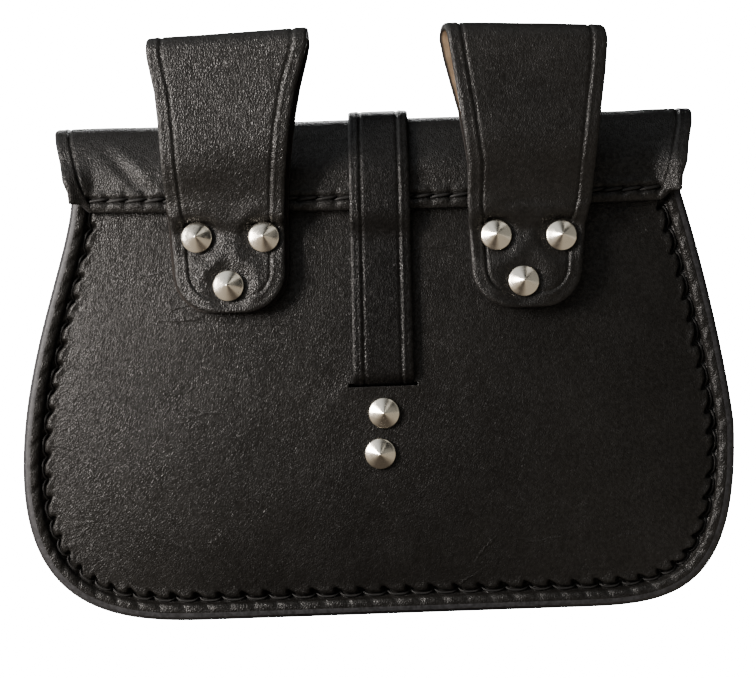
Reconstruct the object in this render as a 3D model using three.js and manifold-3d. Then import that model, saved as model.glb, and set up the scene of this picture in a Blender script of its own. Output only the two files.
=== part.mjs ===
// A black leather belt bag, standing on its bottom edge with its back towards -Y.
// Millimetres, +Z up. Seen from the back, +X is on the right.
//
// The back and front walls are domed leather panels. A gusset band joins them, and its two turned-out
// flanges make the stitched rim with them. The flap is lapped over the top of the back panel and comes
// over the mouth. A strap riveted inside the back comes out through a slit, goes over the flap and is
// held by a button stud on the front. Two belt loops, straps folded in half, are riveted to the back.

import * as THREE from 'three';
import { mergeVertices } from 'three/addons/utils/BufferGeometryUtils.js';
import Module from 'manifold-3d';

const wasm = await Module();
wasm.setup();

// Leather thicknesses and the play left between neighbouring pieces
const LEATHER = 2.4;
const GUSSET_LEATHER = 2;
const STRAP_LEATHER = 2.2;
const GAP = 0.3;

// Body
const BODY_DEPTH = 44;
const PANEL_TOP = 139;
const WAIST_HEIGHT = 133;
const SPINE_LOW = 58;
const BACK_DOME = 6;
const FRONT_DOME = 8;
const PUFF = 0.8;

// Rim outside the stitch line, in the seam's own section: inset from the outline, and depth
const RIM_ANGLE = THREE.MathUtils.degToRad(28);
const RIM_EDGE_INSET = 1.8;
const VALLEY_INSET = 6.9;

// Flap
const FLAP_LIFT = 141;
const FLAP_TOP = 158.5;
const FLAP_BOTTOM = 46;
const LAP_EASE = 0.35;
const FLAP_BACK_DEPTH = -GAP - LEATHER / 2 - LAP_EASE;
const WAIST_LEFT = -95;
const WAIST_RIGHT = 98;
const FLAP_FRONT_DEPTH = 56;

// Closing strap
const STRAP_WIDTH = 19.2;
const STRAP_BOTTOM_X = 2.2;
const STRAP_LEAN = 0.0127;
const SLIT_BOTTOM = 73.2;
const SLIT_TOP = 81.8;
const SLIT_WIDTH = 21.6;
const STRAP_INNER_END = 43;
const STRAP_OUTER_END = 19;

// Belt loops
const LOOP_FOLD_HEIGHT = 179.9;
const TUNNEL_DEPTH = 5.6;
const LOOP_CORNER = 13;

// Studs
const STUD_RADIUS = 4.9;
const STUD_RIM = 0.7;
const STUD_HEIGHT = 3.6;
const POST_RADIUS = 1.5;
const CAP_RADIUS = 4;
const CAP_HEIGHT = 0.8;
const STUD_SIDES = 14;
const HOLE_SIDES = 10;

// Colours and finishes
const BLACK_LEATHER = { color: 0x1d1c1b, roughness: 0.5, metalness: 0 };
const NICKEL = { color: 0xd9d6cc, roughness: 0.18, metalness: 1 };

const smooth = (from, to, value) => THREE.MathUtils.smoothstep(value, from, to);
const clamp01 = (value) => THREE.MathUtils.clamp(value, 0, 1);

// Outline of the walls, seen from the back: from the middle of the bottom edge to the top of one side.
// The bottom is straight, one curve rounds the corner and one leads up to the waist.
const OUTLINE_SIDES = [
  { side: -1, bottom: 53, corner: 25.4, widest: 113.9, widestHeight: 47.5, rise: 35,
    lean: 98, leanHeight: 115.8, waist: 95.9, top: 95 },
  { side: 1, bottom: 61.2, corner: 28.4, widest: 113.7, widestHeight: 56.5, rise: 5,
    lean: 109, leanHeight: 96.9, waist: 98.9, top: 98 },
];
const OUTLINE_STEPS = { bottom: 4, corner: 9, flank: 6, top: 1 };

function outlineSide(row) {
  const at = (x, z) => new THREE.Vector2(row.side * x, z);
  const middle = at(0, 0);
  const bottomEnd = at(row.bottom, 0);
  const widest = at(row.widest, row.widestHeight);
  const waist = at(row.waist, WAIST_HEIGHT);
  const pieces = [
    [new THREE.LineCurve(middle, bottomEnd), OUTLINE_STEPS.bottom],
    [new THREE.CubicBezierCurve(bottomEnd, at(row.bottom + row.corner, 0), at(row.widest, 0), widest),
      OUTLINE_STEPS.corner],
    [new THREE.CubicBezierCurve(widest, at(row.widest, row.widestHeight + row.rise),
      at(row.lean, row.leanHeight), waist), OUTLINE_STEPS.flank],
    [new THREE.LineCurve(waist, at(row.top, PANEL_TOP)), OUTLINE_STEPS.top],
  ];
  const points = [];
  for (const [curve, steps] of pieces) {
    for (let k = points.length ? 1 : 0; k <= steps; k += 1) {
      const share = k / steps;
      const across = curve.getTangent(share).multiplyScalar(row.side);
      points.push({ point: curve.getPoint(share), inward: new THREE.Vector2(-across.y, across.x) });
    }
  }
  return points;
}

// The whole outline from the top of the left side, round the bottom, to the top of the right side
const [leftSide, rightSide] = OUTLINE_SIDES.map(outlineSide);
const outline = [...leftSide.slice(1).reverse(), ...rightSide];
const middleColumn = leftSide.length - 1;
outline[middleColumn].inward.set(0, 1);

// A point of the seam's section: inset from the outline at one column, at a depth
function seamPoint(column, inset, depth) {
  const { point, inward } = outline[column];
  const at = point.clone().addScaledVector(inward, inset);
  const atTop = column === 0 || column === outline.length - 1;
  return new THREE.Vector3(at.x, depth, atTop ? PANEL_TOP : at.y);
}

// How far the middle of a wall bulges out of its seam plane at x, z
function dome(x, z, height) {
  const above = Math.max(0, z - 45);
  const halfWidth = 106.5 - 0.0021 * above * above;
  const across = Math.min(1, Math.abs(x - 0.018 * above) / halfWidth);
  const up = clamp01((z - VALLEY_INSET) / 62);
  const fadeToMouth = 1 - 0.5 * smooth(85, 140, z);
  return height * (1 - across ** 2.4) * (1 - (1 - up) ** 2.2) * fadeToMouth;
}

// Depth of the back wall's outer face well inside the seam, and its unit normal out of the bag
const backFace = (x, z) => -dome(x, z, BACK_DOME) - PUFF;
const frontFace = (x, z) => BODY_DEPTH + dome(x, z, FRONT_DOME) + PUFF;

function faceNormal(face, x, z, outward) {
  const slopeX = (face(x + 0.5, z) - face(x - 0.5, z));
  const slopeZ = (face(x, z + 0.5) - face(x, z - 0.5));
  return new THREE.Vector3(-slopeX, 1, -slopeZ).multiplyScalar(outward).normalize();
}

// Depth of the rim and of the stitched valley beside it, for a distance from the outline
function rimDepth(inset) {
  if (inset < VALLEY_INSET) return -(VALLEY_INSET - inset) * Math.tan(RIM_ANGLE);
  return -PUFF * (1 - Math.exp(-(inset - VALLEY_INSET) / 2.5));
}

function geometryFrom(positions, indices) {
  const geometry = new THREE.BufferGeometry();
  geometry.setAttribute('position', new THREE.Float32BufferAttribute(positions, 3));
  geometry.setIndex(indices);
  return mergeVertices(geometry, 1e-4);
}

// The same geometry with shared vertices merged and only its positions left
function barePositions(geometry) {
  const bare = geometry.clone();
  bare.deleteAttribute('normal');
  bare.deleteAttribute('uv');
  return mergeVertices(bare, 1e-4);
}

function toSolid(geometry) {
  const merged = barePositions(geometry);
  return new wasm.Manifold(new wasm.Mesh({
    numProp: 3,
    vertProperties: new Float32Array(merged.attributes.position.array),
    triVerts: new Uint32Array(merged.index.array),
  }));
}

function toGeometry(solid) {
  const mesh = solid.getMesh();
  return geometryFrom(Array.from(mesh.vertProperties), Array.from(mesh.triVerts));
}

function cutFrom(geometry, cutters) {
  let solid = toSolid(geometry);
  for (const cutter of cutters) solid = solid.subtract(toSolid(cutter));
  return toGeometry(solid);
}

// Unit normals of a grid of points, from its neighbours along and across
function gridNormals(grid) {
  const rows = grid.length;
  const columns = grid[0].length;
  return grid.map((row, i) => row.map((_, j) => {
    const along = grid[Math.min(i + 1, rows - 1)][j].clone().sub(grid[Math.max(i - 1, 0)][j]);
    const across = grid[i][Math.min(j + 1, columns - 1)].clone().sub(grid[i][Math.max(j - 1, 0)]);
    return along.cross(across).normalize();
  }));
}

// A wall of leather: two faces from two grids of the same size, closed by the four edges. Where the last
// row is folded on itself, as in the panels, it has no edge. turned swaps inside and outside.
function leatherWall(outer, inner, { foldedEnd = false, turned = false } = {}) {
  const rows = outer.length;
  const columns = outer[0].length;
  const positions = [];
  for (const grid of [outer, inner]) {
    for (const row of grid) {
      for (const point of row) positions.push(point.x, point.y, point.z);
    }
  }
  const front = (i, j) => i * columns + j;
  const back = (i, j) => rows * columns + i * columns + j;
  const indices = [];
  const quad = (a, b, c, d) => {
    if (turned) indices.push(a, b, c, a, c, d);
    else indices.push(a, c, b, a, d, c);
  };
  for (let i = 0; i < rows - 1; i += 1) {
    for (let j = 0; j < columns - 1; j += 1) {
      quad(front(i, j), front(i + 1, j), front(i + 1, j + 1), front(i, j + 1));
      quad(back(i, j), back(i, j + 1), back(i + 1, j + 1), back(i + 1, j));
    }
    quad(front(i, 0), back(i, 0), back(i + 1, 0), front(i + 1, 0));
    quad(front(i, columns - 1), front(i + 1, columns - 1), back(i + 1, columns - 1), back(i, columns - 1));
  }
  for (let j = 0; j < columns - 1; j += 1) {
    quad(front(0, j), front(0, j + 1), back(0, j + 1), back(0, j));
    if (!foldedEnd) quad(front(rows - 1, j), back(rows - 1, j), back(rows - 1, j + 1), front(rows - 1, j + 1));
  }
  return geometryFrom(positions, indices);
}

// A wall around a middle surface, half its thickness to each side
function sheet(middle, thickness) {
  const normals = gridNormals(middle);
  const shifted = (distance) => middle.map((row, i) => row.map((point, j) => (
    point.clone().addScaledVector(normals[i][j], distance))));
  return leatherWall(shifted(thickness / 2), shifted(-thickness / 2), { turned: true });
}

// Rings of a wall panel: the rim, the stitch valley and the puffed band, then the way to the spine
const PANEL_RINGS = [RIM_EDGE_INSET, 4.4, VALLEY_INSET, 9, 13];
const PANEL_SHARES = [0.16, 0.36, 0.58, 0.8, 1];

// A domed wall panel. Its rings end on the spine, a line up the middle that both halves share.
function panelGeometry(height, outward) {
  const seamDepth = outward < 0 ? 0 : BODY_DEPTH;
  const lastRing = PANEL_RINGS.at(-1);
  const surface = (x, z, inset) => seamDepth - outward * (rimDepth(inset) - dome(x, z, height));
  const rows = PANEL_RINGS.map((inset) => outline.map((_, column) => {
    const at = seamPoint(column, inset, 0);
    return at.setY(surface(at.x, at.z, inset));
  }));
  for (const share of PANEL_SHARES) {
    rows.push(outline.map((_, column) => {
      const at = seamPoint(column, lastRing, 0);
      const up = Math.abs(column - middleColumn) / middleColumn;
      at.lerp(new THREE.Vector3(0, 0, THREE.MathUtils.lerp(SPINE_LOW, PANEL_TOP, up)), share);
      return at.setY(surface(at.x, at.z, lastRing + 60 * share));
    }));
  }
  const normals = gridNormals(rows);
  const inner = rows.map((row, i) => row.map((point, column) => {
    const normal = normals[i][column];
    if (i === rows.length - 1) normal.set(0, 1, 0);
    if (column === 0 || column === outline.length - 1) normal.setZ(0).normalize();
    if (normal.y * outward > 0) normal.negate();
    return point.clone().addScaledVector(normal, LEATHER);
  }));
  return leatherWall(rows, inner, { foldedEnd: true, turned: outward > 0 });
}

// The gusset's section at a seam: inset from the outline, and depth from the seam plane. The first row
// is the flange's face against the panel, with the cut edge, the flat that the bag stands on, and the
// face that looks at the other panel.
const FLANGE_FACE = [
  { inset: 9.2, depth: 3.4 },
  { inset: 6.0, depth: 2.65 },
  { inset: 0.53, depth: -0.3 },
  { inset: 0, depth: 0.7 },
  { inset: 0, depth: 1.7 },
  { inset: 5.0, depth: 1.7 + 5.0 * Math.tan(RIM_ANGLE) },
  { inset: 7.1, depth: 5.6 },
];
const WEB_OUTER_INSET = 7.4;
const WEB_INNER_INSET = WEB_OUTER_INSET + GUSSET_LEATHER;

// The gusset: a band that runs down one side, along the bottom and up the other side
function gussetGeometry() {
  const mirrored = FLANGE_FACE.map(({ inset, depth }) => ({ inset, depth: BODY_DEPTH - depth })).reverse();
  const section = [
    ...FLANGE_FACE,
    { inset: WEB_OUTER_INSET, depth: 9 },
    { inset: WEB_OUTER_INSET - 1, depth: BODY_DEPTH / 2 },
    { inset: WEB_OUTER_INSET, depth: BODY_DEPTH - 9 },
    ...mirrored,
    { inset: WEB_INNER_INSET + 0.3, depth: BODY_DEPTH - 5 },
    { inset: WEB_INNER_INSET, depth: BODY_DEPTH - 9 },
    { inset: WEB_INNER_INSET - 1, depth: BODY_DEPTH / 2 },
    { inset: WEB_INNER_INSET, depth: 9 },
    { inset: WEB_INNER_INSET + 0.3, depth: 5 },
  ];
  const positions = [];
  outline.forEach((_, column) => {
    for (const { inset, depth } of section) {
      const at = seamPoint(column, inset, depth);
      positions.push(at.x, at.y, at.z);
    }
  });
  const count = section.length;
  const indices = [];
  for (let column = 0; column < outline.length - 1; column += 1) {
    for (let k = 0; k < count; k += 1) {
      const here = column * count;
      const next = here + count;
      const after = (k + 1) % count;
      indices.push(here + k, next + after, next + k, here + k, here + after, next + after);
    }
  }
  const face = section.map(({ inset, depth }) => new THREE.Vector2(inset, depth));
  const last = (outline.length - 1) * count;
  for (const [a, b, c] of THREE.ShapeUtils.triangulateShape(face, [])) {
    indices.push(a, b, c);
    indices.push(last + a, last + c, last + b);
  }
  return geometryFrom(positions, indices);
}

// Height of the flap's lapped hem, which bows a little and is lifted at its two side margins
function hemHeight(x, fromEdge = 50) {
  return 128.6 + 0.00015 * (x - 40) ** 2 + 2.6 * (1 - smooth(3, 6.5, fromEdge));
}

// The flap's section in depth and height, over the mouth from the back to the free front edge
function flapPath() {
  const at = (y, z) => new THREE.Vector2(y, z);
  const path = new THREE.CurvePath();
  const lift = at(FLAP_BACK_DEPTH, FLAP_LIFT);
  const crestBack = at(14, FLAP_TOP);
  const crestFront = at(40, FLAP_TOP);
  const turn = at(FLAP_FRONT_DEPTH, 138);
  path.add(new THREE.CubicBezierCurve(lift, at(FLAP_BACK_DEPTH, 150), at(4, FLAP_TOP), crestBack));
  path.add(new THREE.CubicBezierCurve(crestBack, at(24, FLAP_TOP + 0.9), at(31, FLAP_TOP + 0.9), crestFront));
  path.add(new THREE.CubicBezierCurve(crestFront, at(50, FLAP_TOP), at(FLAP_FRONT_DEPTH, 150), turn));
  path.add(new THREE.LineCurve(turn, at(FLAP_FRONT_DEPTH, FLAP_BOTTOM)));
  return path;
}
const flapCurves = flapPath().curves;

// Sections of the flap above the lap: which curve, the share along it, and the two side edges
const FLAP_SECTIONS = [
  { curve: 0, share: 0, left: -97.3, right: 100.9 },
  { curve: 0, share: 0.25, left: -98.7, right: 102.3 },
  { curve: 0, share: 0.5, left: -100.2, right: 103.9 },
  { curve: 0, share: 0.75, left: -101.2, right: 104.8 },
  { curve: 0, share: 1, left: -101.6, right: 105.1 },
  { curve: 1, share: 0.5, left: -102, right: 105.3 },
  { curve: 1, share: 1, left: -102, right: 105.3 },
  { curve: 2, share: 0.35, left: -102, right: 105.3 },
  { curve: 2, share: 0.7, left: -102, right: 105.3 },
  { curve: 2, share: 1, left: -102, right: 105.3 },
  { curve: 3, share: 0.3, left: -102, right: 105.3 },
  { curve: 3, share: 0.6, left: -101, right: 104.3 },
  { curve: 3, share: 0.8, left: -95, right: 98.3 },
  { curve: 3, share: 0.93, left: -82, right: 85.3 },
  { curve: 3, share: 1, left: -64, right: 67.3 },
];
const LAP_SECTIONS = [
  { rise: 0, left: -95.4, right: 98.7 },
  { rise: 0.5, left: -95.8, right: 99.2 },
];
const FLAP_COLUMNS = [0, 0.027, 0.06, 0.14, 0.25, 0.37, 0.5, 0.63, 0.75, 0.86, 0.94, 0.973, 1];

// Where the back of the flap lies over the rim, the valley and the dome of the back panel
function flapOverBack(x, z) {
  const hold = 1 - smooth(FLAP_LIFT, 152, z);
  const inset = Math.max(0, Math.min(x - WAIST_LEFT, WAIST_RIGHT - x));
  return hold * (rimDepth(inset) - dome(x, z, BACK_DOME));
}

function flapPoint(section, x) {
  const flat = flapCurves[section.curve].getPoint(section.share);
  const isBack = section.curve === 0;
  const shift = isBack ? flapOverBack(x, flat.y) : 0;
  return new THREE.Vector3(x, flat.x + shift, flat.y);
}

function flapGeometry() {
  const rows = LAP_SECTIONS.map(({ rise, left, right }) => FLAP_COLUMNS.map((share) => {
    const x = THREE.MathUtils.lerp(left, right, share);
    const fromEdge = Math.min(x - left, right - x);
    const z = THREE.MathUtils.lerp(hemHeight(x, fromEdge), FLAP_LIFT, rise);
    return new THREE.Vector3(x, FLAP_BACK_DEPTH + flapOverBack(x, z), z);
  }));
  for (const section of FLAP_SECTIONS) {
    rows.push(FLAP_COLUMNS.map((share) => (
      flapPoint(section, THREE.MathUtils.lerp(section.left, section.right, share)))));
  }
  return sheet(rows, LEATHER);
}

// Depth of what a piece on the back lies on: the panel below the flap's hem, the flap above it
function backBearing(x, z) {
  const hem = hemHeight(x);
  return backFace(x, z) - (LEATHER + GAP + LAP_EASE) * smooth(hem - 2.7, hem - 0.9, z);
}

// Belt loops. The table gives the side edges of the layer that shows, and how far the layer
// behind it stands out past each of them.
const LOOPS = [
  { name: 'belt_loop_left', end: 97.7, topSlope: 0.032, rows: [
    { z: 111, left: -62.2, right: -27.5, behindLeft: -1, behindRight: 1.1 },
    { z: 125, left: -63.2, right: -27.3, behindLeft: -0.8, behindRight: 1.1 },
    { z: 140, left: -64.5, right: -26.3, behindLeft: 0, behindRight: 1.1 },
    { z: 156, left: -65.2, right: -24.2, behindLeft: 0.5, behindRight: 1.1 },
    { z: 167, left: -66, right: -21.9, behindLeft: 0.5, behindRight: 1.1 },
    { z: 178, left: -68, right: -18.4, behindLeft: 0.5, behindRight: 0.8 },
    { z: 186, left: -68.7, right: -16.4, behindLeft: 0, behindRight: 0 },
  ] },
  { name: 'belt_loop_right', end: 96.2, topSlope: -0.054, rows: [
    { z: 109, left: 31.3, right: 65.9, behindLeft: 0.4, behindRight: -0.4 },
    { z: 123, left: 30.8, right: 67.5, behindLeft: 0.4, behindRight: -0.4 },
    { z: 130, left: 30.4, right: 69.5, behindLeft: 0.3, behindRight: -0.4 },
    { z: 142, left: 31, right: 70.7, behindLeft: 0, behindRight: -0.5 },
    { z: 157, left: 29.2, right: 72.7, behindLeft: -0.3, behindRight: -1 },
    { z: 170, left: 27.3, right: 74.5, behindLeft: -1.8, behindRight: -2 },
    { z: 179, left: 26, right: 75.4, behindLeft: -2.7, behindRight: -2.7 },
    { z: 186, left: 24.4, right: 75, behindLeft: 0, behindRight: 0 },
  ] },
];
const LOOP_HEIGHTS = [116, 121, 124.8, 127, 128.2, 129.3, 134, 140, 148, 158, 168, 175];
const LOOP_END_RISES = [0, 0.35, 1.5, 3.8, 7.5, LOOP_CORNER];
const LOOP_COLUMNS = [0, 0.25, 0.5, 0.75, 1];
const FOLD_STEPS = 6;

// A row of the table, worked out between its rows
function rowAt(rows, z) {
  const next = rows.findIndex((row) => row.z > z);
  if (next === 0) return rows[0];
  if (next < 0) return rows.at(-1);
  const share = (z - rows[next - 1].z) / (rows[next].z - rows[next - 1].z);
  return Object.fromEntries(Object.keys(rows[0]).map((key) => (
    [key, THREE.MathUtils.lerp(rows[next - 1][key], rows[next][key], share)])));
}

// Depth of the middle of a loop's hidden layer: on the back below, free and flat above
function loopBehindDepth(x, z, middleX) {
  const held = Math.min(z, FLAP_LIFT);
  const freed = smooth(130, 145, z);
  const bearing = THREE.MathUtils.lerp(backBearing(x, held), backBearing(middleX, held) - 1, freed);
  return bearing - GAP - LEATHER / 2;
}

// How far the layer that shows stands off the hidden one, from middle to middle
const loopSpread = (z) => LEATHER + GAP + (TUNNEL_DEPTH - GAP) * smooth(128, 141, z);

function loopGeometry(loop) {
  const middleX = (loop.rows[0].left + loop.rows[0].right) / 2;
  const heights = [...LOOP_END_RISES.map((rise) => loop.end + rise), ...LOOP_HEIGHTS];
  const layerRow = (z, isBehind) => {
    const row = rowAt(loop.rows, z);
    const left = row.left + (isBehind ? row.behindLeft : 0);
    const right = row.right + (isBehind ? row.behindRight : 0);
    const rise = Math.min(LOOP_CORNER, z - loop.end);
    const corner = LOOP_CORNER - Math.sqrt(LOOP_CORNER ** 2 - (LOOP_CORNER - rise) ** 2);
    return LOOP_COLUMNS.map((share) => {
      const x = THREE.MathUtils.lerp(left + corner, right - corner, share);
      const y = loopBehindDepth(x, z, middleX) - (isBehind ? 0 : loopSpread(z));
      return new THREE.Vector3(x, y, z + loop.topSlope * (x - middleX) * smooth(150, 185, z));
    });
  };
  const rows = heights.map((z) => layerRow(z, true));
  const radius = (LEATHER + TUNNEL_DEPTH) / 2;
  const behindStart = layerRow(LOOP_FOLD_HEIGHT, true);
  const frontStart = layerRow(LOOP_FOLD_HEIGHT, false);
  for (let step = 0; step <= FOLD_STEPS; step += 1) {
    const turn = Math.PI * step / FOLD_STEPS;
    rows.push(LOOP_COLUMNS.map((_, column) => {
      const at = behindStart[column].clone().lerp(frontStart[column], (1 - Math.cos(turn)) / 2);
      return at.add(new THREE.Vector3(0, 0, radius * Math.sin(turn)));
    }));
  }
  rows.push(...heights.map((z) => layerRow(z, false)).reverse());
  return sheet(rows, LEATHER);
}

// The closing strap's middle line in depth and height, from its end inside the bag to its end in front
const strapX = (z) => STRAP_BOTTOM_X + STRAP_LEAN * (Math.min(z, FLAP_TOP) - SLIT_BOTTOM);

function strapPath() {
  const inside = LEATHER + GAP + STRAP_LEATHER / 2;
  const outside = -GAP - STRAP_LEATHER / 2;
  const points = [];
  for (const z of [STRAP_INNER_END, 50, 57, 64, 70]) {
    points.push({ z, y: backFace(strapX(z), z) + inside + 0.1 });
  }
  const slitMiddle = (SLIT_BOTTOM + SLIT_TOP) / 2;
  const slitSteps = [
    { rise: -4.2, depth: inside + 0.1 },
    { rise: -2.8, depth: inside - 0.2 },
    { rise: 0, depth: LEATHER / 2 },
    { rise: 2.8, depth: outside + 0.2 },
    { rise: 4.8, depth: outside - 0.1 },
  ];
  for (const { rise, depth } of slitSteps) {
    const z = slitMiddle + rise;
    points.push({ z, y: backFace(strapX(z), z) + depth });
  }
  for (const z of [88, 96, 106, 116, 122, 125.5, 127.5, 129.5, 134]) {
    points.push({ z, y: backBearing(strapX(z), z) + outside - 0.1 });
  }
  const overFlap = LEATHER / 2 + GAP + 0.1 + STRAP_LEATHER / 2;
  for (let curve = 0; curve < 4; curve += 1) {
    const steps = [8, 2, 6, 3][curve];
    for (let k = 0; k < steps; k += 1) {
      const section = { curve, share: k / steps, left: -200, right: 200 };
      const ahead = { ...section, share: k / steps + 0.01 };
      const here = flapPoint(section, STRAP_BOTTOM_X + 1);
      const tangent = flapPoint(ahead, STRAP_BOTTOM_X + 1).sub(here).normalize();
      points.push({ z: here.z + overFlap * tangent.y, y: here.y - overFlap * tangent.z });
    }
  }
  const frontOutside = FLAP_FRONT_DEPTH + overFlap;
  points.push({ z: FLAP_BOTTOM + 1, y: frontOutside }, { z: FLAP_BOTTOM - 2.5, y: frontOutside - 0.4 });
  for (const z of [39, 33, 28, 23, STRAP_OUTER_END]) {
    const landed = frontFace(strapX(z), z) - outside + 0.1;
    points.push({ z, y: THREE.MathUtils.lerp(landed, frontOutside - 1.5, smooth(32, 44, z)) });
  }
  return points;
}

function strapGeometry() {
  const columns = [-0.5, 0, 0.5];
  const rows = strapPath().map(({ y, z }) => columns.map((share) => (
    new THREE.Vector3(strapX(z) + share * STRAP_WIDTH, y, z))));
  return sheet(rows, STRAP_LEATHER);
}

// Studs, each by its place and what it rivets to the wall. A stud's axis is the wall's normal there.
const STUDS = [
  { name: 'stud_left_1', x: -54.7, z: 121.4, through: 'belt_loop_left', layers: 2 },
  { name: 'stud_left_2', x: -33.7, z: 120.8, through: 'belt_loop_left', layers: 2 },
  { name: 'stud_left_3', x: -45.2, z: 105.8, through: 'belt_loop_left', layers: 2 },
  { name: 'stud_right_1', x: 39.0, z: 118.9, through: 'belt_loop_right', layers: 2 },
  { name: 'stud_right_2', x: 59.4, z: 118.2, through: 'belt_loop_right', layers: 2 },
  { name: 'stud_right_3', x: 47.0, z: 104.2, through: 'belt_loop_right', layers: 2 },
  { name: 'stud_strap_1', x: 2.0, z: 64.5, through: 'closing_strap', layers: 0 },
  { name: 'stud_strap_2', x: 0.4, z: 51.7, through: 'closing_strap', layers: 0 },
];
const CLOSING_STUD = { name: 'closing_stud', x: 2, z: 27 };

// Turned profiles along the axis, from the tip of the head inwards. under is the head's underside.
function coneProfile(grip) {
  return [
    [0, STUD_HEIGHT], [STUD_RADIUS, STUD_RIM], [STUD_RADIUS, 0], [POST_RADIUS, 0],
    [POST_RADIUS, -grip], [CAP_RADIUS, -grip], [CAP_RADIUS, -grip - CAP_HEIGHT], [0, -grip - CAP_HEIGHT],
  ];
}

function buttonProfile(grip) {
  return [
    [0, 3.4], [2.6, 3], [4.4, 1.6], [4.4, 0.5], [POST_RADIUS, 0],
    [POST_RADIUS, -grip], [CAP_RADIUS, -grip], [CAP_RADIUS, -grip - CAP_HEIGHT], [0, -grip - CAP_HEIGHT],
  ];
}

function turnedGeometry(profile) {
  const points = profile.map(([radius, height]) => new THREE.Vector2(radius, height)).reverse();
  return barePositions(new THREE.LatheGeometry(points, STUD_SIDES));
}

// Puts a geometry that was made along +Y onto the wall, with +Y out of the bag
function placeOnWall(geometry, face, outward, { x, z }, standOff) {
  const normal = faceNormal(face, x, z, outward);
  const turn = new THREE.Quaternion().setFromUnitVectors(new THREE.Vector3(0, 1, 0), normal);
  const at = new THREE.Vector3(x, face(x, z), z).addScaledVector(normal, standOff);
  return geometry.clone().applyQuaternion(turn).translate(at.x, at.y, at.z);
}

const postHole = (face, outward, stud) => placeOnWall(
  new THREE.CylinderGeometry(POST_RADIUS + GAP, POST_RADIUS + GAP, 40, HOLE_SIDES), face, outward, stud, 0);

// A loop's studs go through its two layers and the panel, the strap's through the panel and the strap
function studGeometry(stud) {
  const isOnLoop = stud.layers > 0;
  const onTop = isOnLoop ? stud.layers * (LEATHER + GAP) : 0;
  const underneath = LEATHER + 0.15 + (isOnLoop ? 0 : GAP + STRAP_LEATHER + 0.1);
  const headStandOff = onTop + GAP;
  const grip = headStandOff + underneath + GAP;
  return placeOnWall(turnedGeometry(coneProfile(grip)), backFace, -1, stud, headStandOff);
}

function closingStudGeometry() {
  const headStandOff = GAP + 0.1 + STRAP_LEATHER + GAP;
  const grip = headStandOff + LEATHER + 0.15 + GAP;
  return placeOnWall(turnedGeometry(buttonProfile(grip)), frontFace, 1, CLOSING_STUD, headStandOff);
}

const backHole = (stud) => postHole(backFace, -1, stud);
const frontHole = postHole(frontFace, 1, CLOSING_STUD);
const holesFor = (name) => STUDS.filter((stud) => stud.through === name).map(backHole);

function slitCutter() {
  const slit = new THREE.BoxGeometry(SLIT_WIDTH, 40, SLIT_TOP - SLIT_BOTTOM);
  return slit.translate(STRAP_BOTTOM_X, 0, (SLIT_TOP + SLIT_BOTTOM) / 2);
}

function mesh(name, geometry, finish) {
  const piece = new THREE.Mesh(geometry, new THREE.MeshStandardMaterial(finish));
  piece.name = name;
  piece.geometry.computeVertexNormals();
  return piece;
}

// Assembly
const bag = new THREE.Group();
const backCuts = [slitCutter(), ...STUDS.map(backHole)];
bag.add(mesh('back_panel', cutFrom(panelGeometry(BACK_DOME, -1), backCuts), BLACK_LEATHER));
bag.add(mesh('front_panel', cutFrom(panelGeometry(FRONT_DOME, 1), [frontHole]), BLACK_LEATHER));
bag.add(mesh('gusset', gussetGeometry(), BLACK_LEATHER));
bag.add(mesh('flap', flapGeometry(), BLACK_LEATHER));
for (const loop of LOOPS) {
  bag.add(mesh(loop.name, cutFrom(loopGeometry(loop), holesFor(loop.name)), BLACK_LEATHER));
}
const strapHoles = [...holesFor('closing_strap'), frontHole];
bag.add(mesh('closing_strap', cutFrom(strapGeometry(), strapHoles), BLACK_LEATHER));
for (const stud of STUDS) {
  bag.add(mesh(stud.name, studGeometry(stud), NICKEL));
}
bag.add(mesh(CLOSING_STUD.name, closingStudGeometry(), NICKEL));

// The origin is the middle of the bag's footprint box, on the surface it stands on
const box = new THREE.Box3().setFromObject(bag);
const middle = box.getCenter(new THREE.Vector3());
bag.position.set(-middle.x, -middle.y, -box.min.z);
bag.updateMatrixWorld(true);

export default bag;
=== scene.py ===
import bpy
import bmesh
import math
from bisect import bisect_right
from mathutils import Matrix, Vector, noise
from mathutils.geometry import interpolate_bezier


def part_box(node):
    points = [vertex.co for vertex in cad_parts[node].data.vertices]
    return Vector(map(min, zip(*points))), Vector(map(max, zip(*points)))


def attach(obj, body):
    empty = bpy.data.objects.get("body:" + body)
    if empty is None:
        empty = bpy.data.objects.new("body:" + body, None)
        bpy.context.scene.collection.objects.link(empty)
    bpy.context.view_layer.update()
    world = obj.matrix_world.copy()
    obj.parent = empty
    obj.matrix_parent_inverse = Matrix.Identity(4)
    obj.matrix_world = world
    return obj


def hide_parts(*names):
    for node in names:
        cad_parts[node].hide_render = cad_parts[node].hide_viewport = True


# A black leather belt bag seen from its back, standing on its stitched bottom rim.
# Sizes are in millimetres in the bag's own frame: x to the right as seen from the back, y through the bag
# from the back seam to the front, z up from the stitched bottom. place() puts a point in the scene.

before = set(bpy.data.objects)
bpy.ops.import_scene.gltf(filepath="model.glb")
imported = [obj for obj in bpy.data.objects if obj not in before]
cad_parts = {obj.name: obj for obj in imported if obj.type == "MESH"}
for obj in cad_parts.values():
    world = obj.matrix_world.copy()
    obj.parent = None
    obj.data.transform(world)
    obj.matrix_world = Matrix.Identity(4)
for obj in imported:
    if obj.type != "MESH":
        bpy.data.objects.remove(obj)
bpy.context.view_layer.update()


# View and light
# The bag was photographed square on from its back, with the camera turned 2 degrees. A small window close
# by on the left gives most of the light, and white paper lies under the bag and all round it.

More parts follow.
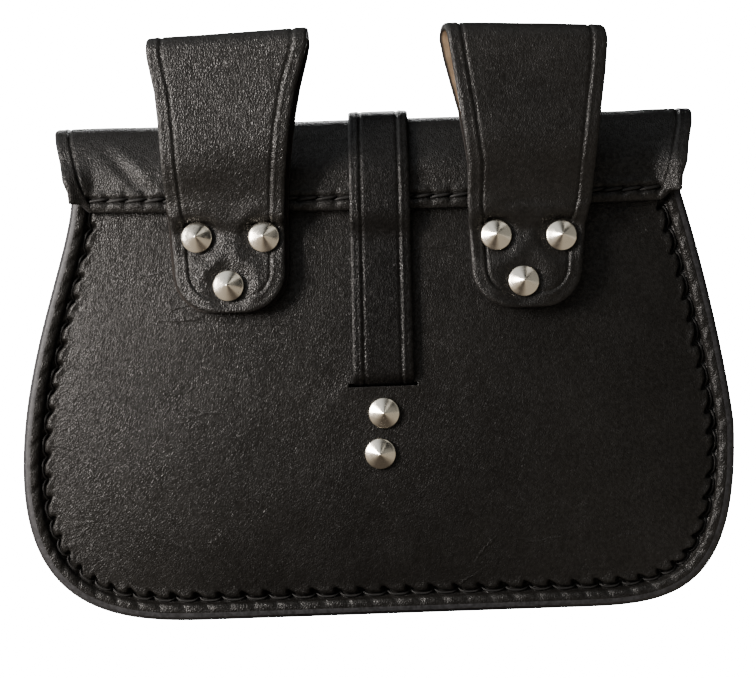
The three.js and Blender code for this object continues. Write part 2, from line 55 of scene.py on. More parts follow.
# The depth from the back seam to the front one, and the shift from the bag's own frame to the scene's. It
# centres the outline, and brings the seams to the two sides of the gusset.
BODY_DEPTH = 44.0
CENTRE_SHIFT = 0.1
gusset_low, gusset_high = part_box("gusset")
FRAME_SHIFT = Vector((CENTRE_SHIFT, (gusset_low[1] + gusset_high[1]) / 2 * 1000 - BODY_DEPTH / 2, 0))


def place(x, y, z):
    return (Vector((x, y, z)) + FRAME_SHIFT) * 0.001


CAMERA_DISTANCE = 600.0
PIXELS_PER_MM = 3.13
PHOTO_WIDTH = 756
SENSOR_WIDTH = 36
ROLL = math.radians(2.0)
VIEW_X, VIEW_Z = 0.9, 87.9

camera = bpy.data.objects.new("camera", bpy.data.cameras.new("camera"))
bpy.context.collection.objects.link(camera)
bpy.context.scene.camera = camera
camera_right = Vector((math.cos(ROLL), 0, -math.sin(ROLL)))
camera_up = Vector((math.sin(ROLL), 0, math.cos(ROLL)))
camera_turn = Matrix((camera_right, camera_up, Vector((0, -1, 0)))).transposed().to_4x4()
camera.matrix_world = Matrix.Translation(place(VIEW_X, -CAMERA_DISTANCE, VIEW_Z)) @ camera_turn
camera.data.sensor_width = SENSOR_WIDTH
camera.data.lens = SENSOR_WIDTH * CAMERA_DISTANCE * PIXELS_PER_MM / PHOTO_WIDTH
camera.data.clip_start = 0.01


def area_light(name, at, towards, size, power, colour=(1, 1, 1)):
    lamp = bpy.data.objects.new(name, bpy.data.lights.new(name, "AREA"))
    bpy.context.collection.objects.link(lamp)
    lamp.data.shape = "RECTANGLE"
    lamp.data.size, lamp.data.size_y = size
    lamp.data.energy = power
    lamp.data.color = colour
    lamp.location = Vector(at)
    lamp.rotation_euler = (Vector(towards) - Vector(at)).to_track_quat("-Z", "Y").to_euler()


DAYLIGHT = (1, 0.925, 0.87)
OFF_PAPER = (1, 0.97, 0.9)
area_light("window", (-0.52, -0.36, 0.26), (-0.05, 0, 0.09), (0.18, 0.3), 7.4, DAYLIGHT)
area_light("paper on the right", (0.75, -0.3, 0.2), (0, 0, 0.08), (0.45, 0.9), 0.3, OFF_PAPER)
# This one is too weak to light the leather, but the studs' cones mirror it at their upper right
area_light("paper above", (0.42, -0.36, 0.72), (0, 0, 0.09), (0.34, 0.3), 0.24, OFF_PAPER)
# This one lights the bag's front
area_light("window behind", (-0.1, 0.9, 0.42), (0, 0.02, 0.09), (0.5, 0.5), 8)


def new_material(name):
    material = bpy.data.materials.new(name)
    material.use_nodes = True
    return material, material.node_tree, material.node_tree.nodes["Principled BSDF"]


def feed(tree, socket, value):
    """Gives a shader node's input a value, or links another node's output to it."""
    if isinstance(value, bpy.types.NodeSocket):
        tree.links.new(value, socket)
    else:
        socket.default_value = value


def set_up(tree, node, *in_order, **by_name):
    """Fills in a node: its settings by their small-letter names, its inputs in order or by name."""
    for name, value in by_name.items():
        if name.islower():
            setattr(node, name, value)
        else:
            feed(tree, node.inputs[name.replace("_", " ")], value)
    for socket, value in zip(node.inputs, in_order):
        feed(tree, socket, value)


def add_node(tree, kind, *in_order, out=None, **by_name):
    """Adds a node, and gives back its output of that name, or else the first one in use."""
    node = tree.nodes.new("ShaderNode" + kind)
    set_up(tree, node, *in_order, **by_name)
    return node.outputs[out] if out else next(socket for socket in node.outputs if socket.enabled)


def rescale(tree, source, low, high, to_low, to_high):
    return add_node(tree, "MapRange", source, low, high, to_low, to_high)


def colour_ramp(tree, source, *stops):
    """Colours over a value, from stops of a position and a colour."""
    node = tree.nodes.new("ShaderNodeValToRGB")
    elements = node.color_ramp.elements
    for element, (at, colour) in zip((elements[0], elements[1]), (stops[0], stops[-1])):
        element.position = at
        element.color = colour
    for at, colour in stops[1:-1]:
        elements.new(at).color = colour
    feed(tree, node.inputs["Fac"], source)
    return node.outputs["Color"]


def show_and_light(tree, output, seen, lit):
    """The camera sees one shader, and the bag is lit by the other."""
    to_camera = add_node(tree, "LightPath", out="Is Camera Ray")
    set_up(tree, tree.nodes[output], add_node(tree, "MixShader", to_camera, lit, seen))


# The photo's paper is white to the edge of the picture, so what the camera sees of it glows. The bag itself
# gets only a weak glow from round the window.
WHITE = (1, 1, 1, 1)
SEEN_ROOM, SEEN_PAPER = 30.0, 25.0
WINDOW_WAY = (-0.84, -0.22, 0.49)

room = bpy.data.worlds.new("white room")
bpy.context.scene.world = room
room.use_nodes = True
room_tree = room.node_tree
room_seen = room_tree.nodes["Background"]
set_up(room_tree, room_seen, WHITE, SEEN_ROOM)
room_way = add_node(room_tree, "TexCoord", out="Generated")
near_window = add_node(room_tree, "VectorMath", room_way, WINDOW_WAY, operation="DOT_PRODUCT")
room_glow = rescale(room_tree, near_window, 0.35, 0.72, 0.01, 0.8)
room_lit = add_node(room_tree, "Background", (0.96, 0.98, 1, 1), room_glow)
show_and_light(room_tree, "World Output", room_seen.outputs["Background"], room_lit)

# What shines mirrors a faint painted glow of the paper, with a painted shadow in front of the bag's middle,
# where that glow is gone
PAINTED_PAPER_GLOW, PAINTED_SHADOW_ON_PAPER = (0.34, 0.3, 0.25, 1), (0.02, 0.016, 0.012, 1)

paper_mesh = bmesh.new()
bmesh.ops.create_grid(paper_mesh, x_segments=1, y_segments=1, size=3)
paper_data = bpy.data.meshes.new("paper_floor")
paper_mesh.to_mesh(paper_data)
paper_mesh.free()
paper = bpy.data.objects.new("paper_floor", paper_data)
bpy.context.collection.objects.link(paper)
paper_finish, paper_tree, paper_skin = new_material("white paper")
set_up(paper_tree, paper_skin, Base_Color=(0.9, 0.9, 0.9, 1), Roughness=0.9, Emission_Color=WHITE,
       Emission_Strength=SEEN_PAPER)
# The light that the paper bounces is painted dark, as painted shade under the bag, though the camera sees
# the paper white
painted_dark_paper_bounce = add_node(paper_tree, "BsdfDiffuse", (0.06, 0.052, 0.045, 1))
paper_spot = add_node(paper_tree, "TexCoord", out="Object")
paper_across = rescale(paper_tree, add_node(paper_tree, "SeparateXYZ", paper_spot), -0.5, 0.5, 0, 1)
# The glow across the paper is painted, and its dark band in front of the bag is a painted shadow; only what
# shines sees them
paper_painted_glow_and_shadow = colour_ramp(paper_tree, paper_across, (0.4, PAINTED_PAPER_GLOW), (0.475, PAINTED_SHADOW_ON_PAPER),
                          (0.53, PAINTED_SHADOW_ON_PAPER), (0.59, PAINTED_PAPER_GLOW))
in_shine = add_node(paper_tree, "LightPath", out="Is Glossy Ray")
paper_painted_reflection = add_node(paper_tree, "Emission", paper_painted_glow_and_shadow, in_shine)
show_and_light(paper_tree, "Material Output", paper_skin.outputs["BSDF"],
               add_node(paper_tree, "AddShader", painted_dark_paper_bounce, paper_painted_reflection))
paper_data.materials.append(paper_finish)


# Back panel
# One piece of vegetable-tanned leather 2.4 mm thick, dyed black and cut with round lower corners.
# It is saddle-stitched to the gusset through slanted awl holes. That pulls a scalloped valley into it
# and turns the rim outside the stitches towards the viewer, and the middle swells like a pillow.

LEATHER = 2.4
GAP = 0.3
PANEL_TOP = 139.0
WAIST_Z = 133.0
SPINE_LOW = 58.0
BACK_DOME = 6.0
PUFF = 0.8
RIM_SLOPE = math.tan(math.radians(28))
RIM_EDGE_INSET = 1.8
VALLEY_INSET = 6.9

# Each side of the outline: the end of the straight bottom, the round corner, the flank and the waist
OUTLINE_SIDES = {
    -1: {"bottom": 53, "corner": 25.4, "widest": 113.9, "widest_z": 47.5, "rise": 35,
         "lean": 98, "lean_z": 115.8, "waist": 95.9, "top": 95},
    1: {"bottom": 61.2, "corner": 28.4, "widest": 113.7, "widest_z": 56.5, "rise": 5,
        "lean": 109, "lean_z": 96.9, "waist": 98.9, "top": 98},
}


def outline_side(side):
    row = OUTLINE_SIDES[side]
    bottom_end = Vector((row["bottom"], 0))
    widest = Vector((row["widest"], row["widest_z"]))
    waist = Vector((row["waist"], WAIST_Z))
    corner = interpolate_bezier(
        bottom_end, Vector((row["bottom"] + row["corner"], 0)), Vector((row["widest"], 0)), widest, 120)
    flank = interpolate_bezier(
        widest, Vector((row["widest"], row["widest_z"] + row["rise"])),
        Vector((row["lean"], row["lean_z"])), waist, 80)
    points = [Vector((0, 0)), *corner, *flank[1:], Vector((row["top"], PANEL_TOP))]
    return [Vector((side * point.x, point.y)) for point in points]


def runs_of(line):
    """How far along a line each of its points is."""
    runs = [0.0]
    for before, after in zip(line, line[1:]):
        runs.append(runs[-1] + (after - before).length)
    return runs


def on_line(line, runs, run):
    """The place that is a run along a line."""
    run = min(max(run, 0.0), runs[-1])
    high = min(bisect_right(runs, run), len(runs) - 1)
    share = (run - runs[high - 1]) / (runs[high] - runs[high - 1])
    return line[high - 1].lerp(line[high], share)


outline = outline_side(-1)[:0:-1] + outline_side(1)
outline_runs = runs_of(outline)
OUTLINE_LENGTH = outline_runs[-1]


def on_outline(run):
    return on_line(outline, outline_runs, run)


def in_from_outline(run, inset):
    """The place at a distance inwards from the outline, itself measured from the top of its left side."""
    way = on_outline(run + 1.5) - on_outline(run - 1.5)
    level = min(1.0, min(run, OUTLINE_LENGTH - run) / 6)
    inward = Vector((-way.y, way.x * level)).normalized()
    return on_outline(run) + inward * inset


def smooth(low, high, value):
    share = min(max((value - low) / (high - low), 0.0), 1.0)
    return share * share * (3 - 2 * share)


def bell(value, middle, width):
    return math.exp(-((value - middle) / width) ** 2)


def dome(x, z, height):
    """How far the middle of a wall swells out of its seam plane: it rises in from the two sides and up from
    the bottom seam, and flattens towards the mouth."""
    above = max(0.0, z - 45)
    half_width = 106.5 - 0.0021 * above * above
    across = min(1.0, abs(x - 0.018 * above) / half_width)
    up = min(max((z - VALLEY_INSET) / 62, 0.0), 1.0)
    to_mouth = 1 - 0.5 * smooth(85, 140, z)
    return height * (1 - across ** 2.4) * (1 - (1 - up) ** 2.2) * to_mouth


def puff(inset):
    """How far the leather swells out again just inside the stitches."""
    return PUFF * (1 - math.exp(-max(0.0, inset - VALLEY_INSET) / 2.5))


def rim_depth(inset):
    if inset < VALLEY_INSET:
        return -(VALLEY_INSET - inset) * RIM_SLOPE
    return -puff(inset)


# The awl holes: their pitch along the rim, their inset, and their slant
HOLE_PITCH = 7.55
HOLE_INSET = 7.6
HOLE_SLANT = 0.85


def hole_drift(run):
    """The holes were pricked by hand, so they wander a little along the rim."""
    return 0.5 * noise.noise(Vector((run * 0.06, 3.1, 0)))


def hole_phase(run, inset):
    """Holes are at whole numbers and a half."""
    return (run + hole_drift(run) + HOLE_SLANT * (inset - HOLE_INSET)) / HOLE_PITCH


def rim_relief(run, inset):
    """What the thread's pull adds: a trough beside the rim, the holes' notches, and the scallops between."""
    phase = hole_phase(run, inset)
    off = abs(phase - math.floor(phase) - 0.5) * HOLE_PITCH
    each = noise.noise(Vector((math.floor(phase) * 1.7, 5.3, 0)))
    pull = math.exp(-(off / (1.25 + 0.35 * each)) ** 2)
    shoulder = 6.7 + 1.8 * pull + 0.35 * each
    in_trough = smooth(5.2, 6.0, inset) * (1 - smooth(shoulder - 0.35, shoulder + 0.7, inset))
    scallop = (0.55 + 0.35 * each) * (1 - 0.8 * pull) * bell(inset, shoulder + 1.3, 1.25)
    on_slope = (0.35 + 0.25 * each) * (1 - 1.5 * pull) * bell(inset, 4.4, 0.9)
    pit = -0.9 * pull * bell(inset, HOLE_INSET, 1.1)
    return scallop + on_slope + pit - 0.95 * in_trough


# The slit that the closing strap goes in through. Behind the strap it reaches higher, and a row of faces
# close round it keeps its lip sharp.
SLIT = {"left": -8.9, "right": 13.0, "low": 72.9, "high": 74.0}
SLIT_BEHIND_STRAP = {"left": -7.2, "right": 11.7, "low": 72.9, "high": 78.5}
SLIT_LIP = 0.25
SLIT_NEAR = 3


def slit_relief(x, z):
    """The leather below the slit is pushed out, and it puckers at the slit's two ends."""
    lip = 0
    if z <= SLIT["low"] + 1:
        lip = 0.5 * smooth(8.0, 0.0, abs(z - SLIT["low"])) * smooth(-12.5, -6, x) * (1 - smooth(9, 16.5, x))
    ends = 0
    for end, way in ((SLIT["left"], -1), (SLIT["right"], 1)):
        along = (x - end) * way
        across = z - SLIT["low"] + 0.25 * along
        if -2 < along < 11:
            ends += 0.35 * bell(across, 0.3, 2.2) * bell(along, 1.0, 3.0)
    return lip + ends


def of_the_hide(x, z, seed):
    """Slow unevenness of a hand-worked piece."""
    return noise.noise(Vector((x / 34, z / 34, seed))) + 0.3 * noise.noise(Vector((x / 12, z / 12, seed)))


def edge_drop(from_edge):
    """The rounding of a cut edge."""
    return 0.5 * max(0.0, 1 - from_edge / 1.1) ** 2


def rim_edge_drop(inset):
    """The rim's outer edge is bevelled and burnished round."""
    return 1.35 * max(0.0, 1 - (inset - RIM_EDGE_INSET) / 2.2) ** 2


# The rings of a wall: close together over the rim and its stitches, then wider. Beyond the last one the
# rings close in on the spine, a line up the middle.
PANEL_RINGS = [1.8, 1.9, 2.1, 2.4, 2.8, 3.2, 3.6, 4.1, 4.6, 5.1, 5.6, 6.0, 6.3, 6.6, 6.9, 7.2, 7.5, 7.8, 8.1,
               8.4, 8.8, 9.3, 9.9, 10.6, 11.4, 12.8]
LAST_RING = PANEL_RINGS[-1]
SPINE_WAY = 60.0


def panel_place(run, inset):
    if inset <= LAST_RING:
        return in_from_outline(run, inset)
    up = abs(run / OUTLINE_LENGTH * 2 - 1)
    spine = Vector((0, SPINE_LOW + (PANEL_TOP - SPINE_LOW) * up))
    return in_from_outline(run, LAST_RING).lerp(spine, (inset - LAST_RING) / SPINE_WAY)


def back_surface(run, inset):
    spot = panel_place(run, inset)
    return spot.x, rim_depth(inset) - dome(spot.x, spot.y, BACK_DOME), spot.y


def back_relief(run, inset, spot):
    lift = rim_relief(run, inset) if inset < 14 else 0.0
    lift += slit_relief(spot.x, spot.z)
    lift += 0.35 * of_the_hide(spot.x, spot.z, 4.2) * smooth(8, 22, inset)
    return lift - rim_edge_drop(inset)


def faces_between(bm, left, right, low, high):
    """The faces whose middles lie in a rectangle of the wall."""
    low_corner, high_corner = place(left, 0, low), place(right, 0, high)
    return [face for face in bm.faces
            if low_corner.x < face.calc_center_median().x < high_corner.x
            and low_corner.z < face.calc_center_median().z < high_corner.z]


def cut_out(bm, left, right, low, high):
    """Cuts a slit with straight sides in an open sheet, before it is given its thickness."""
    cuts = [(place(x, 0, 0), (1, 0, 0)) for x in (left, right, left - SLIT_LIP, right + SLIT_LIP)]
    cuts += [(place(0, 0, z), (0, 0, 1)) for z in (low, high, low - SLIT_LIP, high + SLIT_LIP)]
    for on_cut, way in cuts:
        near = faces_between(bm, left - SLIT_NEAR, right + SLIT_NEAR, low - SLIT_NEAR, high + SLIT_NEAR)
        geometry = near + list({edge for face in near for edge in face.edges})
        geometry += list({vert for face in near for vert in face.verts})
        bmesh.ops.bisect_plane(bm, geom=geometry, dist=0.000001, plane_co=on_cut, plane_no=way)
    bmesh.ops.delete(bm, geom=faces_between(bm, left, right, low, high), context="FACES")


# The order of a piece's materials
GRAIN_SIDE, FLESH_SIDE, CUT_EDGE = 0, 1, 2


def leather_sheet(across, along, surface, relief, grain_off, flesh_off, grain_out=True, slits=(),
                  undyed=None):
    """A wall of leather on a surface: across and along are its grid lines, and the two sides are off the
    surface by grain_off and flesh_off. relief lifts the grain side, and undyed says where dye is missing."""
    bm = bmesh.new()
    columns, rows = len(across) - 1, len(along) - 1
    bmesh.ops.create_grid(bm, x_segments=columns, y_segments=rows, size=0.5)
    grid_place = bm.verts.layers.float_vector.new("grid_place")
    facing = bm.verts.layers.float_vector.new("facing")
    undyed_share = bm.verts.layers.float.new("undyed")
    for vert in bm.verts:
        u = across[round((vert.co.x + 0.5) * columns)]
        v = along[round((vert.co.y + 0.5) * rows)]
        vert[grid_place] = (u, v, 0)
        vert.co = place(*surface(u, v))
    bmesh.ops.remove_doubles(bm, verts=bm.verts[:], dist=0.00001)
    for opening in slits:
        cut_out(bm, **opening)
    if not grain_out:
        bmesh.ops.reverse_faces(bm, faces=bm.faces[:])
    bm.normal_update()
    for vert in bm.verts:
        vert[facing] = vert.normal
    grain = set(bm.faces)
    made = bmesh.ops.extrude_face_region(bm, geom=bm.faces[:], use_keep_orig=True)["geom"]
    flesh_verts = {part for part in made if isinstance(part, bmesh.types.BMVert)}
    flesh = {part for part in made if isinstance(part, bmesh.types.BMFace)}
    for vert in bm.verts:
        u, v = vert[grid_place][:2]
        if vert in flesh_verts:
            off = -flesh_off
            vert[undyed_share] = undyed(u, v) if undyed else 0.0
        else:
            off = grain_off + relief(u, v, vert.co * 1000 - FRAME_SHIFT)
        vert.co += vert[facing] * off * 0.001
    for face in bm.faces:
        face.material_index = GRAIN_SIDE if face in grain else FLESH_SIDE if face in flesh else CUT_EDGE
    bmesh.ops.recalc_face_normals(bm, faces=bm.faces[:])
    return bm


def finished_piece(bm, name, materials):
    for face in bm.faces:
        face.smooth = True
    data = bpy.data.meshes.new(name)
    bm.to_mesh(data)
    bm.free()
    for material in materials:
        data.materials.append(material)
    piece = bpy.data.objects.new(name, data)
    bpy.context.collection.objects.link(piece)
    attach(piece, "root")
    return piece


def add_bump(tree, height, strength, depth_mm, **under):
    return add_node(tree, "Bump", Height=height, Strength=strength, Distance=depth_mm * 0.001, **under)


def tinted(colour, share):
    return (*(part * share for part in colour), 1)


def grain_leather(name, colour=(0.0095, 0.0088, 0.0078), roughness=0.4, grain=1.0, folds=0.04, shine=0.36,
                  seed=0.0):
    """Black dyed grain with small cells and pores, soft wrinkles, a few thin creases and an uneven, rubbed
    dye. grain scales its bumps, folds is the creases' depth in mm, and shine is the wax's gloss."""
    material, tree, skin = new_material(name)
    where = add_node(tree, "TexCoord", out="Object")
    spot = add_node(tree, "Mapping", where, Location=(seed, seed * 0.7, seed * 1.3))
    dye = add_node(tree, "TexNoise", spot, Scale=28, Detail=5, Roughness=0.6)
    shade = add_node(tree, "Mix", data_type="RGBA", Factor=rescale(tree, dye, 0.3, 0.7, 0, 1),
                     A=tinted(colour, 0.75), B=tinted(colour, 1.3))
    rubbed = add_node(tree, "TexNoise", spot, Scale=75, Detail=4, Roughness=0.65)
    cells = add_node(tree, "TexVoronoi", spot, feature="DISTANCE_TO_EDGE", Scale=1350)
    pores = add_node(tree, "TexNoise", spot, Scale=950, Detail=1.5, Roughness=0.5)
    wrinkles = add_node(tree, "TexNoise", spot, Scale=300, Detail=3, Roughness=0.6, Distortion=0.5)
    # Creases run where a slow noise, drawn out along a slant, passes through its middle value
    slant = add_node(tree, "Mapping", where, Location=(seed, 0, seed), Rotation=(0, 0.75, 0),
                     Scale=(0.4, 1, 1))
    long_folds = add_node(tree, "TexNoise", slant, Scale=38, Detail=4, Roughness=0.5, Distortion=0.3)
    off_fold = add_node(tree, "Math", long_folds, 0.5, operation="SUBTRACT")
    to_fold = add_node(tree, "Math", off_fold, operation="ABSOLUTE")
    creased = add_node(tree, "TexNoise", spot, Scale=30, Detail=2)
    fold = add_node(tree, "Math", rescale(tree, to_fold, 0, 0.012, 1, 0),
                    rescale(tree, creased, 0.5, 0.62, 0, 1), operation="MULTIPLY")
    normal = add_bump(tree, rescale(tree, cells, 0, 0.28, 0, 1), 0.95, 0.085 * grain)
    normal = add_bump(tree, pores, 0.95, 0.11 * grain, Normal=normal)
    normal = add_bump(tree, wrinkles, 0.9, 0.27 * grain, Normal=normal)
    normal = add_bump(tree, fold, 1.0, folds, Normal=normal)
    gloss_swing = 0.13 * grain
    set_up(tree, skin, Base_Color=shade, Normal=normal,
           Roughness=rescale(tree, rubbed, 0.3, 0.7, roughness - 0.07, roughness + 0.08),
           Specular_IOR_Level=rescale(tree, pores, 0.35, 0.65, shine - gloss_swing, shine + gloss_swing))
    return material


def cut_edge(name, colour=(0.042, 0.042, 0.045)):
    """The cut edge: packed fibre, dyed and rubbed smooth with wax."""
    material, tree, skin = new_material(name)
    where = add_node(tree, "TexCoord", out="Object")
    fibre = add_node(tree, "TexNoise", where, Scale=900, Detail=5)
    shade = colour_ramp(tree, fibre, (0.35, tinted(colour, 0.5)), (0.7, tinted(colour, 1.5)))
    set_up(tree, skin, Base_Color=shade, Roughness=0.5, Normal=add_bump(tree, fibre, 0.4, 0.2))
    return material


def flesh_side(name, colour=(0.022, 0.017, 0.014), undyed_colour=(0.022, 0.017, 0.014)):
    """The rough inner side of the hide, which the dye has reached only in part."""
    material, tree, skin = new_material(name)
    where = add_node(tree, "TexCoord", out="Object")
    nap = add_node(tree, "TexNoise", where, Scale=1500, Detail=4, Roughness=0.7)
    patch = add_node(tree, "TexNoise", where, Scale=180, Detail=4, Roughness=0.6)
    undyed = add_node(tree, "Attribute", attribute_name="undyed", out="Fac")
    hide = add_node(tree, "Mix", data_type="RGBA", Factor=undyed, A=(*colour, 1), B=(*undyed_colour, 1))
    shade = add_node(tree, "Mix", data_type="RGBA", blend_type="MULTIPLY", Factor=1, A=hide,
                     B=rescale(tree, patch, 0.3, 0.7, 0.6, 1.4))
    set_up(tree, skin, Base_Color=shade, Roughness=0.9, Normal=add_bump(tree, nap, 0.7, 0.3))
    return material


black_grain = grain_leather("black grain leather", grain=0.85, folds=0.12)
black_flesh = flesh_side("black flesh side")
black_edge = cut_edge("waxed cut edge")

# How far in the finish of a panel's cut edge reaches, over the rim's bevel
BURNISHED = 2.9
BACK_COLUMNS, BACK_INNER_RINGS = 1000, 17


def panel_sheet(columns, inner_rings, surface, relief, **choices):
    """A panel's leather: rings close together over its rim, and wider ones from there to its middle."""
    runs = [OUTLINE_LENGTH * k / columns for k in range(columns + 1)]
    insets = PANEL_RINGS + [
        LAST_RING + SPINE_WAY * (k / inner_rings) ** 1.25 for k in range(1, inner_rings + 1)]
    bm = leather_sheet(runs, insets, surface, relief, 0, LEATHER, **choices)
    grid_place = bm.verts.layers.float_vector["grid_place"]
    for face in bm.faces:
        if max(vert[grid_place].y for vert in face.verts) < BURNISHED:
            face.material_index = CUT_EDGE
    return bm


back_mesh = panel_sheet(
    BACK_COLUMNS, BACK_INNER_RINGS, back_surface, back_relief, slits=(SLIT, SLIT_BEHIND_STRAP))
back_panel = finished_piece(back_mesh, "back_panel_leather", [black_grain, black_flesh, black_edge])
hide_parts("back_panel")


# Thread on the back rim
# Waxed linen thread 0.8 mm thick, saddle-stitched by hand. Between two awl holes it lies in the trough
# beside the rim, and it dives into the leather at both ends.

THREAD = 0.8
STITCH_STEPS = 8
HOLE_COUNT = int(OUTLINE_LENGTH / HOLE_PITCH)


def waxed_thread_finish(name):
    material, tree, skin = new_material(name)
    where = add_node(tree, "TexCoord", out="Object")
    ply = add_node(tree, "TexNoise", where, Scale=2600, Detail=2)
    set_up(tree, skin, Base_Color=(0.008, 0.0076, 0.0072, 1), Roughness=0.62,
           Normal=add_bump(tree, ply, 0.5, 0.1))
    return material


waxed_thread = waxed_thread_finish("waxed black thread")


def thread_piece(name, stitches, thickness=THREAD):
    """One run of thread: each stitch swells a little between its two holes."""
    data = bpy.data.curves.new(name, "CURVE")
    data.dimensions = "3D"
    data.bevel_depth = thickness / 2000
    data.bevel_resolution = 2
    data.use_fill_caps = True
    for points in stitches:
        line = data.splines.new("POLY")
        line.points.add(len(points) - 1)
        for k, (line_point, spot) in enumerate(zip(line.points, points)):
            line_point.co = (*place(*spot), 1)
            line_point.radius = 0.82 + 0.26 * math.sin(math.pi * k / (len(points) - 1))
    data.materials.append(waxed_thread)
    piece = bpy.data.objects.new(name, data)
    bpy.context.collection.objects.link(piece)
    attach(piece, "root")


def rim_stitches(seam_y, outward):
    stitches = []
    for k in range(HOLE_COUNT - 1):
        points = []
        for step in range(STITCH_STEPS + 1):
            share = step / STITCH_STEPS
            run = (k + 0.5 + share) * HOLE_PITCH
            run -= hole_drift(run)
            aside = abs(2 * share - 1)
            inset = 6.2 + 1.2 * aside ** 3
            spot = in_from_outline(run, inset)
            dip = rim_depth(6.3) + 0.62 + 0.9 * aside ** 5
            points.append((spot.x, seam_y - outward * dip, spot.y))
        stitches.append(points)
    return stitches


thread_piece("rim_thread_back", rim_stitches(0, -1))


# Gusset
# A band of the same leather, 2 mm thick, that runs down one side, along the bottom and up the other.
# Its flanges lie inside the two rims and are stitched to them, so the cut edges lie side by side.

GUSSET_LEATHER = 2.0
GUSSET_COLUMNS = 420
WEB_INSET = 7.4
INNER_INSET = WEB_INSET + GUSSET_LEATHER

# The flange's section at a seam, from its inner end round its cut edge to the web: inset from the
# outline, and depth from the seam plane. Its cut edge is the part from the sixth point to the eleventh.
FLANGE = [(9.2, 3.4), (7.6, 3.05), (6.0, 2.65), (4.2, 1.69), (2.4, 0.72), (1.0, -0.05), (0.53, -0.3),
          (0.22, -0.2), (0.05, 0.1), (0, 0.7), (0, 1.7), (1.2, 2.34), (3.0, 3.3), (5.0, 4.36), (6.3, 5.0),
          (7.1, 5.6)]
WEB = [(7.35, 7), (WEB_INSET, 9), (WEB_INSET - 0.6, 15), (WEB_INSET - 1, BODY_DEPTH / 2),
       (WEB_INSET - 0.6, BODY_DEPTH - 15), (WEB_INSET, BODY_DEPTH - 9), (7.35, BODY_DEPTH - 7)]
WEB_INSIDE = [(INNER_INSET + 0.3, BODY_DEPTH - 5), (INNER_INSET, BODY_DEPTH - 9),
              (INNER_INSET - 0.6, BODY_DEPTH - 15), (INNER_INSET - 1, BODY_DEPTH / 2),
              (INNER_INSET - 0.6, 15), (INNER_INSET, 9), (INNER_INSET + 0.3, 5)]
front_flange = [(inset, BODY_DEPTH - depth) for inset, depth in reversed(FLANGE)]
gusset_section = FLANGE + WEB + front_flange + WEB_INSIDE + FLANGE[:1]
section_steps = len(gusset_section) - 1
front_start = len(FLANGE) + len(WEB)
CUT_STEPS = {*range(5, 10), *range(front_start + 5, front_start + 10)}

gusset_mesh = bmesh.new()
bmesh.ops.create_grid(gusset_mesh, x_segments=GUSSET_COLUMNS, y_segments=section_steps, size=0.5)
for face in gusset_mesh.faces:
    step = int((face.calc_center_median().y + 0.5) * section_steps)
    face.material_index = 1 if step in CUT_STEPS else 0
for vert in gusset_mesh.verts:
    run = (vert.co.x + 0.5) * OUTLINE_LENGTH
    inset, depth = gusset_section[round((vert.co.y + 0.5) * section_steps)]
    spot = in_from_outline(run, inset)
    on_web = smooth(8, 14, depth) * (1 - smooth(BODY_DEPTH - 14, BODY_DEPTH - 8, depth))
    outward = spot - in_from_outline(run, inset + 1)
    spot = spot + outward * 0.5 * of_the_hide(run * 0.6, depth, 8.0) * on_web
    vert.co = place(spot.x, depth, min(spot.y, PANEL_TOP))
bmesh.ops.remove_doubles(gusset_mesh, verts=gusset_mesh.verts[:], dist=0.00001)
open_ends = [edge for edge in gusset_mesh.edges if edge.is_boundary]
caps = bmesh.ops.holes_fill(gusset_mesh, edges=open_ends, sides=0)["faces"]
bmesh.ops.triangulate(gusset_mesh, faces=caps)
bmesh.ops.recalc_face_normals(gusset_mesh, faces=gusset_mesh.faces[:])
gusset_grain = grain_leather("gusset leather", roughness=0.5, seed=1.7)
gusset = finished_piece(gusset_mesh, "gusset_leather", [gusset_grain, black_edge])
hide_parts("gusset")


# Front panel and its rim thread
# It is cut to the back panel's outline from the same leather, with a fuller swell, and saddle-stitched to
# the gusset's other flange. The flap covers most of it.

FRONT_DOME = 8.0
FRONT_COLUMNS, FRONT_INNER_RINGS = 720, 9


def front_surface(run, inset):
    spot = panel_place(run, inset)
    return spot.x, BODY_DEPTH - rim_depth(inset) + dome(spot.x, spot.y, FRONT_DOME), spot.y


def front_relief(run, inset, spot):
    lift = rim_relief(run, inset) if inset < 14 else 0.0
    lift += 0.3 * of_the_hide(spot.x, spot.z, 9.1) * smooth(8, 22, inset)
    return lift - rim_edge_drop(inset)


front_mesh = panel_sheet(FRONT_COLUMNS, FRONT_INNER_RINGS, front_surface, front_relief, grain_out=False)
front_panel = finished_piece(front_mesh, "front_panel_leather", [black_grain, black_flesh, black_edge])
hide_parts("front_panel")
thread_piece("rim_thread_front", rim_stitches(BODY_DEPTH, 1))


# Flap
# One piece of the same leather, lapped on the back panel, that goes over the mouth and down the front.
# A creasing iron has drawn a line along its edges, and one row of stitches holds its hem to the back.

FLAP_LIFT = 141.0
FLAP_TOP = 158.5
FLAP_BOTTOM = 46.0
LAP_EASE = 0.35
FLAP_BACK_DEPTH = -GAP - LEATHER / 2 - LAP_EASE
FLAP_FRONT_DEPTH = 56.0
WAIST_LEFT, WAIST_RIGHT = -95, 98


def table(columns, *rows):
    return [dict(zip(columns.split(), row)) for row in rows]


# Side edges of the flap: how far along it, from -1 at the hem over 0 at the lift, 1 and 2 at the two
# sides of the crest and 3 at the turn in front, to 4 at the free edge
FLAP_EDGES = table(
    "at left right",
    (-1, -95.4, 98.7), (-0.5, -95.8, 99.2), (0, -97.3, 100.9), (0.25, -98.7, 102.3),
    (0.5, -100.2, 103.9), (0.75, -101.2, 104.8), (1, -101.6, 105.1), (1.5, -102, 105.3), (4, -102, 105.3))
FLAP_CORNER = 38.0
CORNER_START = 3.55


def from_table(rows, key, value):
    """A row of a table, worked out between its rows."""
    if value <= rows[0][key]:
        return rows[0]
    for low, high in zip(rows, rows[1:]):
        if value <= high[key]:
            share = (value - low[key]) / (high[key] - low[key])
            return {name: low[name] + (high[name] - low[name]) * share for name in low}
    return rows[-1]


